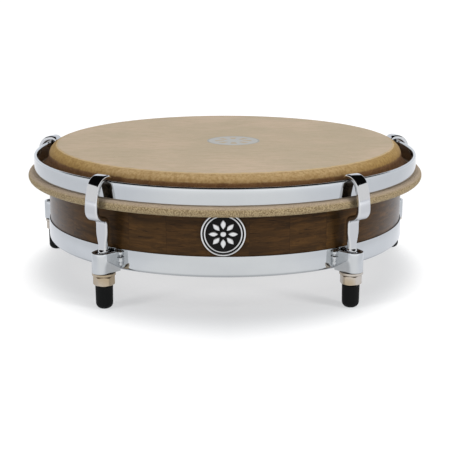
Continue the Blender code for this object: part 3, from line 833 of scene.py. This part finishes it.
def make_skin(material):
    """The skin: flat head, crown, flared collar, and its edge wrapped round the flesh hoop."""
    middle = HEAD_TOP - SKIN_THICKNESS / 2
    crown_centre = (HEAD_FLAT_RADIUS, middle - CROWN_RADIUS)
    flare_centre = (HEAD_FLAT_RADIUS + CROWN_RADIUS + COLLAR_FLARE_RADIUS, crown_centre[1])
    wrap_radius = FLESH_HOOP_WIRE_RADIUS + FIT_GAP + SKIN_THICKNESS / 2
    wrap_centre = (FLESH_HOOP_RADIUS, FLESH_HOOP_HEIGHT)
    foot_centre = (COLLAR_FOOT_AT, FLESH_HOOP_HEIGHT + wrap_radius + COLLAR_FOOT_RADIUS)
    path = [(share * HEAD_FLAT_RADIUS, middle) for share in (0.0, 0.2, 0.4, 0.6, 0.8, 0.95)]
    path += arc(crown_centre, CROWN_RADIUS, 90.0, 0.0, 16)
    path += arc(flare_centre, COLLAR_FLARE_RADIUS, 180.0, 180.0 + COLLAR_FLARE_ANGLE, 6)[1:]
    path += arc(foot_centre, COLLAR_FOOT_RADIUS, 180.0 + COLLAR_FLARE_ANGLE, 270.0, 5)
    path += arc(wrap_centre, wrap_radius, 90.0, WRAP_TUCK_ANGLE, 28)
    smooth = turned("skin_sheet", sheet_outline(path, SKIN_THICKNESS), material)
    return grow("skin", take_mesh(smooth), WORK_HIDE, {
        "Wave": 0.0002, "Lump": 0.00030, "Wrap Starts": 0.1335, "Wrap Full": 0.1360, "Material": material})


def make_shell(material):
    """The wooden shell: straight below, relieved under the collar, rounded at the bearing edge."""
    edge_radius = CROWN_RADIUS - SKIN_THICKNESS / 2 - FIT_GAP
    edge_centre = (HEAD_FLAT_RADIUS, HEAD_TOP - SKIN_THICKNESS / 2 - CROWN_RADIUS)
    inner = SHELL_RADIUS - SHELL_WALL
    outline = rounded([(inner, SHELL_BOTTOM, 0.0008), (SHELL_RADIUS, SHELL_BOTTOM, 0.0005),
                       (SHELL_RADIUS, SHELL_TAPER_START, 0.0)])
    outline += arc(edge_centre, edge_radius, 0.0, 90.0, 12)
    outline.append((inner, edge_centre[1] + edge_radius - INNER_EDGE_DROP))
    return turned("wooden_shell", outline, material)


def make_flesh_hoop(material):
    """The steel wire ring inside the wrapped edge of the skin."""
    ring = arc((FLESH_HOOP_RADIUS, FLESH_HOOP_HEIGHT), FLESH_HOOP_WIRE_RADIUS, 0.0, 360.0, 16)
    return turned("steel_flesh_hoop", ring[:-1], material)


def make_counterhoop(material):
    """The flat chrome hoop, with a fully rounded top edge."""
    inner = HOOP_OUTER_RADIUS - HOOP_WALL
    bottom = FLESH_HOOP_HEIGHT + FLESH_HOOP_WIRE_RADIUS + 2 * FIT_GAP + SKIN_THICKNESS - HOOP_SINK
    top = HOOP_TOP + HOOP_RISE - HOOP_WALL / 2
    outline = rounded([(inner, bottom, 0.0005), (HOOP_OUTER_RADIUS, bottom, 0.0005),
                       (HOOP_OUTER_RADIUS, top, 0.0)])
    outline += arc((HOOP_OUTER_RADIUS - HOOP_WALL / 2, top), HOOP_WALL / 2, 0.0, 180.0, 12)[1:]
    return turned("chrome_counterhoop", outline, material)


def make_band(material):
    """The band round the shell's foot, with a lip turned in under the shell's bottom edge."""
    inner = SHELL_RADIUS + FIT_GAP
    outer = inner + BAND_WALL
    outline = rounded([
        (BAND_LIP_RADIUS, BAND_BOTTOM, 0.0002),
        (outer, BAND_BOTTOM, BAND_CORNER_RADIUS),
        (outer, BAND_TOP, 0.0002),
        (inner, BAND_TOP, 0.0002),
        (inner, BAND_BOTTOM + BAND_WALL, BAND_CORNER_RADIUS - BAND_WALL),
        (BAND_LIP_RADIUS, BAND_BOTTOM + BAND_WALL, 0.0002),
    ])
    return turned("chrome_band", outline, material)


# Pieces at the lugs, made in the lug's own frame: X points out of the drum, Z is the rod's axis


def strap_ring(width, thickness, roundness):
    """One section of the hook as (across, outward) points: a strap with rounded edges, or a round rod."""
    half_width = width / 2
    half_depth = thickness / 2
    edge = min(STRAP_EDGE_RADIUS, half_depth - 0.00005)
    strap = [(0.0, half_depth)]
    strap += arc((half_width - edge, half_depth - edge), edge, 90.0, 0.0, STRAP_EDGE_STEPS)
    strap.append((half_width, 0.0))
    strap += [(x, -y) for x, y in strap[-2::-1]]
    strap += [(-x, y) for x, y in strap[-2:0:-1]]
    points = []
    for i, (x, y) in enumerate(strap):
        angle = math.tau * i / len(strap)
        round_x = half_width * math.sin(angle)
        round_y = half_depth * math.cos(angle)
        points.append((x + (round_x - x) * roundness, y + (round_y - y) * roundness))
    return points


def hook_face():
    """Outer face of the hook from lip to shoulder: (radius, height, facing angle, width, thickness)."""
    crown = STRAP_CROWN_THICKNESS
    leg = STRAP_LEG_THICKNESS
    back_radius = CROWN_TOP - HOOP_TOP - FIT_GAP + HOOP_WALL / 2 - FIT_GAP / 2
    back_centre = (CROWN_BACK_AT, CROWN_TOP - back_radius)
    front_centre = (CROWN_FRONT_AT, CROWN_TOP - CROWN_FRONT_RADIUS)
    bow = math.radians(LEG_BOW_ANGLE)
    centre_gap = LEG_BOW_RADIUS - CROWN_FRONT_RADIUS
    bow_centre = (front_centre[0] - centre_gap * math.cos(bow), front_centre[1] - centre_gap * math.sin(bow))
    bend_centre = (bow_centre[0] + LEG_BOW_RADIUS - LOWER_BEND_RADIUS, bow_centre[1])
    bend_end = Vector(arc(bend_centre, LOWER_BEND_RADIUS, LOWER_BEND_ANGLE, LOWER_BEND_ANGLE, 1)[0])
    slope = math.radians(-LOWER_BEND_ANGLE)
    jog = bend_end.x - SHOULDER_FACE_AT - SHOULDER_RADIUS * (1.0 - math.cos(slope))
    shoulder_bottom = bend_end.y - jog / math.tan(slope) - SHOULDER_RADIUS * math.sin(slope)
    shoulder_centre = (SHOULDER_FACE_AT + SHOULDER_RADIUS, shoulder_bottom)
    lip_at = back_centre[0] - back_radius
    stations = [(lip_at, LIP_BOTTOM, 180.0, STRAP_WIDTH - 0.0006, crown - 0.0006),
                (lip_at, LIP_BOTTOM + 0.0003, 180.0, STRAP_WIDTH, crown)]

    def follow(centre, radius, start, end, steps, facing_off, widths, depths):
        """Add stations along an arc, whose face looks away from the centre plus an angle."""
        for step, point in enumerate(arc(centre, radius, start, end, steps)):
            share = step / steps
            sizes = [first + (last - first) * share for first, last in (widths, depths)]
            stations.append((*point, start + (end - start) * share + facing_off, *sizes))

    full = (STRAP_WIDTH, STRAP_WIDTH)
    follow(back_centre, back_radius, 180.0, 90.0, 14, 0.0, full, (crown, crown))
    follow(front_centre, CROWN_FRONT_RADIUS, 90.0, LEG_BOW_ANGLE, 16, 0.0, full, (crown, leg))
    follow(bow_centre, LEG_BOW_RADIUS, LEG_BOW_ANGLE, 0.0, 10, 0.0, full, (leg, leg))
    follow(bend_centre, LOWER_BEND_RADIUS, 0.0, LOWER_BEND_ANGLE, 12, 0.0, full, (leg, leg))
    follow(shoulder_centre, SHOULDER_RADIUS, 180.0 + LOWER_BEND_ANGLE, 180.0, 8, -180.0,
           (STRAP_WIDTH, SHOULDER_WIDTH), (leg, leg))
    return stations


def make_hooks(material):
    """The five tension hooks, each from its lip over the crown and down into the threaded rod."""
    rings = []
    last = None
    for radius, height, facing, width, thickness in hook_face():
        here = (round(radius, 7), round(height, 7))
        if here == last:
            continue
        last = here
        out = Vector((math.cos(math.radians(facing)), 0.0, math.sin(math.radians(facing))))
        middle = Vector((radius - ROD_CIRCLE_RADIUS, 0.0, height)) - out * thickness / 2
        rings.append([middle + out * y + Vector((0.0, x, 0.0)) for x, y in strap_ring(width, thickness, 0.0)])

    def level(height, middle, width, thickness, roundness):
        """Add a level section of the lower leg or rod at this height."""
        rings.append([(middle + y, x, height) for x, y in strap_ring(width, thickness, roundness)])

    leg_middle = SHOULDER_FACE_AT - STRAP_LEG_THICKNESS / 2 - ROD_CIRCLE_RADIUS
    for step in range(9):
        share = step / 8
        ease = share * share * (3 - 2 * share)
        level(TAPER_TOP + (NECK_START - TAPER_TOP) * share, leg_middle,
              SHOULDER_WIDTH + (NECK_START_WIDTH - SHOULDER_WIDTH) * ease, STRAP_LEG_THICKNESS, 0.0)
    for step in range(1, 11):
        share = step / 10
        ease = share * share * (3 - 2 * share)
        level(NECK_START + (NECK_ROUND_TOP - NECK_START) * share, leg_middle * (1 - ease),
              NECK_START_WIDTH + (2 * NECK_RADIUS - NECK_START_WIDTH) * ease,
              STRAP_LEG_THICKNESS + (2 * NECK_RADIUS - STRAP_LEG_THICKNESS) * ease, ease)
    rows = round((ROD_THREAD_TOP - ROD_BOTTOM) / THREAD_PITCH * THREAD_STEPS_PER_TURN)
    for row in range(rows + 1):
        height = ROD_THREAD_TOP + (ROD_BOTTOM - ROD_THREAD_TOP) * row / rows
        reach = min(ROD_RADIUS, ROD_RADIUS - 0.0008 + (height - ROD_BOTTOM))
        level(height, 0.0, 2 * reach, 2 * reach, 1.0)
    return at_lugs("tension_hooks", lofted("hook", rings), material, threaded=True)


def bracket_side(back, radius):
    """One side of a bracket's outline: an arc of the bend and the end of the splayed leg, from the middle on."""
    bend_centre = (BRACKET_BEND_AT - ROD_CIRCLE_RADIUS, 0.0)
    side = arc(bend_centre, radius, 0.0, 90.0 - BRACKET_SPLAY, 16)
    leg_x, leg_y = side[-1]
    side.append((back, leg_y + (leg_x - back) * math.tan(math.radians(BRACKET_SPLAY))))
    return side


def make_brackets(material):
    """The five bracket strips, each bent round its rod and back to the band."""
    back = SHELL_RADIUS + BAND_WALL + 2 * FIT_GAP - ROD_CIRCLE_RADIUS
    outer = bracket_side(back, BRACKET_RADIUS)
    inner = bracket_side(back, BRACKET_RADIUS - BRACKET_WALL)
    outline = [(x, -y) for x, y in outer[:0:-1]] + outer
    outline += inner[::-1] + [(x, -y) for x, y in inner[1:]]
    rings = [[(x, y, height) for x, y in outline] for height in (BRACKET_BOTTOM, BRACKET_TOP)]
    soft_edges = ("BEVEL", {"width": 0.00035, "segments": 3, "limit_method": "ANGLE",
                            "angle_limit": math.radians(50.0)})
    return at_lugs("lug_brackets", with_modifiers("bracket", lofted("bracket", rings), soft_edges), material)


def make_welds(material):
    """The weld beads of one bracket: on each leg a small round drop above and a long run below."""
    foot_at = SHELL_RADIUS + BAND_WALL + 0.0012 - ROD_CIRCLE_RADIUS
    leg_end = bracket_side(foot_at, BRACKET_RADIUS)[-1][1]
    pieces = []
    for number in range(1, LUG_COUNT + 1):
        bm = bmesh.new()
        for side in (1, -1):
            for drops, foot, rise, size in WELD_RUNS:
                values = {
                    "Drops": drops, "Rise": rise, "Drop Radius": size, "Seed": 7 * number + side,
                    "Foot": (foot_at, side * (leg_end + 0.0005), foot), "Material": material,
                }
                run = grow("weld_run", bpy.data.meshes.new("weld_run"), LAY_WELD, values)
                bm.from_mesh(run.data)
                bpy.data.objects.remove(run)
        blobs = bpy.data.meshes.new("weld")
        bm.to_mesh(blobs)
        bm.free()
        fused = with_modifiers("weld", blobs, ("REMESH", {"mode": "VOXEL", "voxel_size": WELD_VOXEL}),
                               ("SMOOTH", {"factor": 0.5, "iterations": 6}))
        pieces.append(at_lugs(f"weld_beads_{number}", fused, material, number))
    return pieces


def make_washers(material):
    """The five flat washers, with the soft edges of stamping."""
    outline = rounded([(WASHER_BORE, WASHER_BOTTOM, 0.0002), (WASHER_RADIUS, WASHER_BOTTOM, 0.0004),
                       (WASHER_RADIUS, WASHER_TOP, 0.0002), (WASHER_BORE, WASHER_TOP, 0.0002)])
    washer = turned("washer", outline, material, LUG_SEGMENTS)
    return at_lugs("washers", take_mesh(washer), material)


def make_nut(number, material):
    """A hexagonal nut, its corners cut by a cone above and below."""
    flat = NUT_ACROSS_FLATS / 2
    half = (NUT_TOP - NUT_BOTTOM) / 2
    middle = (NUT_TOP + NUT_BOTTOM) / 2
    slope = math.tan(math.radians(NUT_CHAMFER_ANGLE))
    drops = [0.0, 0.00008, 0.00017, 0.00026, 0.00034, 0.00043, 0.00053, 0.00067, 0.0008]
    heights = [half - drop for drop in drops] + [drop - half for drop in drops[::-1]]
    turn = math.radians(NUT_TURNS[number - 1])
    sides = LUG_SEGMENTS * 2
    rings = []

    def ring(height, reach):
        """One level ring of the nut, its radius given as a function of the angle."""
        angles = [math.tau * i / sides for i in range(sides)]
        rings.append([(reach(angle) * math.cos(angle + turn), reach(angle) * math.sin(angle + turn), middle + height)
                      for angle in angles])

    def hexagon(angle):
        """Radius of the hexagon at an angle, one flat facing angle 0."""
        off = (angle + math.pi / 6) % (math.pi / 3) - math.pi / 6
        return flat / math.cos(off)

    ring(half - 0.0006, lambda angle: NUT_BORE)
    ring(half, lambda angle: NUT_BORE + 0.0006)
    for height in heights:
        cone = min(NUT_FACE_RADIUS + (half - abs(height)) / slope, NUT_CORNER_RADIUS)
        ring(height, lambda angle: min(hexagon(angle), cone))
    ring(-half, lambda angle: NUT_BORE + 0.0006)
    ring(-half + 0.0006, lambda angle: NUT_BORE)
    mesh = lofted("nut", rings)
    bm = bmesh.new()
    bm.from_mesh(mesh)
    caps = [face for face in bm.faces if len(face.verts) == sides]
    bmesh.ops.bridge_loops(bm, edges=[edge for face in caps for edge in face.edges])
    bmesh.ops.delete(bm, geom=caps, context="FACES_ONLY")
    bm.to_mesh(mesh)
    bm.free()
    return at_lugs(f"hex_nut_{number}", mesh, material, number)


def make_feet(material):
    """The five rubber cups on the ends of the rods."""
    outline = [(0.0, 0.0)]
    outline += arc((FOOT_FLAT_RADIUS, FOOT_CORNER_RADIUS), FOOT_CORNER_RADIUS, -90.0, 0.0, 10)
    outline += rounded([outline[-1] + (0.0,), (FOOT_RADIUS, FOOT_TOP, 0.0004),
                        (FOOT_BORE, FOOT_TOP, 0.0003), (FOOT_BORE, FOOT_SOLE, 0.0)], closed=False)[1:]
    outline.append((0.0, FOOT_SOLE))
    foot = turned("foot", outline, material, LUG_SEGMENTS)
    return at_lugs("rubber_feet", take_mesh(foot), material)


# The badge


def on_badge(name, base, material, count=1):
    """Repeat a flat piece round the badge's middle and bend it to the shell."""
    return grow(name, base, ON_BADGE, {
        "Count": count, "Back Radius": SHELL_RADIUS + FIT_GAP, "Angle": math.radians(BADGE_ANGLE),
        "Height": BADGE_HEIGHT, "Material": material})


def badge_ring(name, inner, outer, base, top, material):
    """A round ring of the badge, half round on top."""
    middle = (inner + outer) / 2
    half = (outer - inner) / 2
    outline = [(inner, base), (outer, base)] + arc((middle, top - half), half, 0.0, 180.0, 8)
    return on_badge(name, take_mesh(turned(name, outline, material, 96)), material)


def make_petal():
    """A leaf-shaped petal with a raised middle, lying on the badge's field."""
    bottom = []
    top = []
    for i in range(PETAL_STEPS * 2):
        share = min(i, 2 * PETAL_STEPS - i) / PETAL_STEPS
        side = 1 if i <= PETAL_STEPS else -1
        across = side * PETAL_WIDTH / 2 * math.sin(math.pi * share)
        bottom.append((across, PETAL_START + PETAL_LENGTH * share, BADGE_FIELD_DEPTH))
        along = PETAL_START + PETAL_LENGTH * (0.06 + 0.88 * share)
        top.append((across * 0.72, along, BADGE_FIELD_DEPTH + PETAL_THICKNESS))
    return lofted("petal", [bottom, top])


def make_badge(enamel, silver):
    """The badge: a black field, two bright rings and a plain rosette of eight petals."""
    outline = rounded([(0.0, 0.0, 0.0), (BADGE_RADIUS, 0.0, 0.0), (BADGE_RADIUS, BADGE_FIELD_DEPTH, 0.0003)],
                      closed=False)
    outline.append((0.0, BADGE_FIELD_DEPTH))
    disc = on_badge("badge_disc", take_mesh(turned("badge_disc", outline, enamel, 96)), enamel)
    base = BADGE_FIELD_DEPTH / 2
    rings = [
        badge_ring("badge_rim", BADGE_RADIUS - 0.0011, BADGE_RADIUS, base, BADGE_RIM_DEPTH, silver),
        badge_ring("badge_inner_ring", BADGE_INNER_RING_AT - 0.0008, BADGE_INNER_RING_AT + 0.0002, base,
                   BADGE_RIM_DEPTH - 0.0003, silver),
    ]
    petals = on_badge("badge_petals", make_petal(), silver, PRINT_PETALS)
    dot_outline = [(0.0, base), (BADGE_DOT_RADIUS, base)]
    dot_outline += arc((0.0, BADGE_FIELD_DEPTH), BADGE_DOT_RADIUS, 0.0, 90.0, 8)
    dot_outline = [(x, base + (z - base) * 0.35) for x, z in dot_outline]
    dot = on_badge("badge_dot", take_mesh(turned("badge_dot", dot_outline, silver, 48)), silver)
    return disc, rings + [petals, dot]


# Floor, light and camera


def make_stage():
    """A pale glowing floor with a painted shadow: dimmer and cooler near the drum and a little dim in a ring round
    the drum's foot, fading into the white of the background.
    """
    material, graph, place = new_finish("studio_floor")
    x, _, _, radius = graph.from_axis(place)
    sideways = x.maths("ABSOLUTE") / radius

    def at_side(front_and_side):
        """A value that goes from one before the drum to another beside it."""
        front, side = front_and_side
        return sideways * (side - front) + front

    # Painted shadow: the glow dips in a ring round the drum's foot, and is dimmer and cooler near the drum.
    ring = graph.between(radius, *SHADOW_RING)
    ring = ring * graph.between(radius, at_side(SHADOW_REACH) + SHADOW_RING[1], SHADOW_RING[1])
    away = graph.between(radius, at_side(FLOOR_FADE_START), at_side(FLOOR_FADE_END))
    far = graph.between(radius, *FLOOR_FAR)
    beyond = graph.between(radius, *FLOOR_BEYOND)
    glow = away * (at_side(FLOOR_GLOW_ROUND) - FLOOR_GLOW) + FLOOR_GLOW - ring * at_side(SHADOW_DEPTH)
    glow = glow + beyond * (FLOOR_GLOW_BEYOND - glow)
    glow = glow + far * (FLOOR_GLOW_FAR - glow)
    cool_shade = graph.mix(away, FLOOR_SHADE_TINT, WHITE)
    glow = graph.mix(1.0, cool_shade, glow, "MULTIPLY")
    # The chrome mirrors a darker floor beside the drum than the camera sees
    beside = graph.mix(graph.between(sideways, *BESIDE_FROM), WHITE, FLOOR_MIRRORED_BESIDE)
    mirrored = graph.mix(1.0, glow, beside, "MULTIPLY")
    glow = graph.mix(graph.node("ShaderNodeLightPath", output="Is Camera Ray"), mirrored, glow)
    cloud = graph.noise(place, 3.0, 2.0)
    finish_surface(material, graph, {
        "Base Color": graph.mix(cloud, grey(FLOOR_GREYS[0]), grey(FLOOR_GREYS[1])),
        "Roughness": 0.9,
        "Specular IOR Level": 0.1,
        "Emission Color": glow,
        "Emission Strength": 1.0,
    })
    mesh = bpy.data.meshes.new("studio_floor")
    corners = ((-1, -1), (1, -1), (1, 1), (-1, 1))
    mesh.from_pydata([(x * FLOOR_REACH, y * FLOOR_REACH, 0.0) for x, y in corners], [], [(0, 1, 2, 3)])
    mesh.materials.append(material)
    floor = put_in_scene("studio_floor", mesh)


def make_world():
    """White walls and a dark ceiling for the chrome to mirror, and an even dim light on all the rest."""
    world = bpy.data.worlds.new("studio")
    bpy.context.scene.world = world
    world.use_nodes = True
    world.node_tree.nodes.clear()
    graph = Graph(world.node_tree)
    _, y, z = graph.parts(graph.node("ShaderNodeTexCoord", output="Generated"))
    ceiling = graph.between(z, *CEILING_FROM)
    walls = graph.mix(graph.between(y, *BACK_WALL_FROM), WHITE, BACK_WALL)
    mirrored = graph.mix(ceiling, walls, grey(CEILING_GREY))
    ray = graph.node("ShaderNodeLightPath", output="Is Diffuse Ray")
    colour = graph.mix(ray, mirrored, grey(WORLD_LIGHT))
    colour = graph.mix(ray.other("Is Camera Ray"), colour, WHITE)
    background = graph.node("ShaderNodeBackground", None, {"Color": colour, "Strength": 1.0})
    out = world.node_tree.nodes.new("ShaderNodeOutputWorld")
    world.node_tree.links.new(background.socket, out.inputs["Surface"])


def add_light(name, angle, distance, height, size, power):
    """A soft light that looks at the drum from an angle about its axis, and isn't mirrored in the chrome."""
    data = bpy.data.lights.new(name, "AREA")
    data.shape = "RECTANGLE"
    data.size, data.size_y = size
    data.energy = power
    light = put_in_scene(name, data)
    light.location = (distance * math.cos(math.radians(angle)), distance * math.sin(math.radians(angle)), height)
    light.rotation_euler = (LIT_POINT - light.location).to_track_quat("-Z", "Y").to_euler()
    light.visible_glossy = False
    light.visible_camera = False


def make_camera():
    """The camera at the photograph's viewing angle."""
    data = bpy.data.cameras.new("camera")
    data.lens = LENS
    data.sensor_width = SENSOR
    data.clip_end = 50.0
    camera = put_in_scene("camera", data)
    level = math.cos(CAMERA_ELEVATION)
    away = Vector((level * math.cos(CAMERA_ANGLE), level * math.sin(CAMERA_ANGLE), math.sin(CAMERA_ELEVATION)))
    camera.location = AIM + away * CAMERA_DISTANCE
    camera.rotation_euler = (-away).to_track_quat("-Z", "Y").to_euler()
    bpy.context.scene.camera = camera


TURNING = turning_tree()
AT_LUGS = lug_tree()
LAY_WELD = bead_tree()
ON_BADGE = badge_tree()
WORK_HIDE = hide_tree()

bpy.context.scene.view_settings.view_transform = "Standard"
make_camera()
make_world()
make_stage()
for light in LIGHTS:
    add_light(*light)

hide = hide_finish()
walnut = wood_finish()
bright_chrome = chrome_finish("bright_chrome", tint(198, 199, 201), tint(202, 203, 205), hook=True)
chrome = chrome_finish("chrome", tint(189, 192, 195), tint(196, 199, 201))
zinc = zinc_finish()
rubber = rubber_finish()
silver = silver_finish()

skin = make_skin(hide)
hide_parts("drum_skin")
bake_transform(skin)

dress(make_shell(walnut), SHELL_BODY, "lacquered_wood", "shell")
dress(make_band(chrome), SHELL_BODY, "chrome", "bottom_band")
dress(make_counterhoop(chrome), ROOT, "chrome", "counterhoop")
dress(make_flesh_hoop(steel_finish()), ROOT, "hoop_steel", "flesh_hoop")
dress(make_hooks(bright_chrome), ROOT, "chrome", *each("tension_hook"))
dress(make_feet(rubber), ROOT, "rubber", *each("rubber_foot"))
dress(make_brackets(chrome), SHELL_BODY, "chrome", *each("lug_bracket"))
for weld in make_welds(chrome):
    dress(weld, SHELL_BODY, "chrome")
dress(make_washers(zinc), SHELL_BODY, "nut_brass", *each("washer"))
for number in range(1, LUG_COUNT + 1):
    dress(make_nut(number, zinc), f"nut_{number}", "nut_brass", f"tuning_nut_{number}")
disc, badge_metal = make_badge(enamel_finish(), silver)
dress(disc, SHELL_BODY, "enamel", "badge")
for piece in badge_metal:
    dress(piece, SHELL_BODY, "enamel")
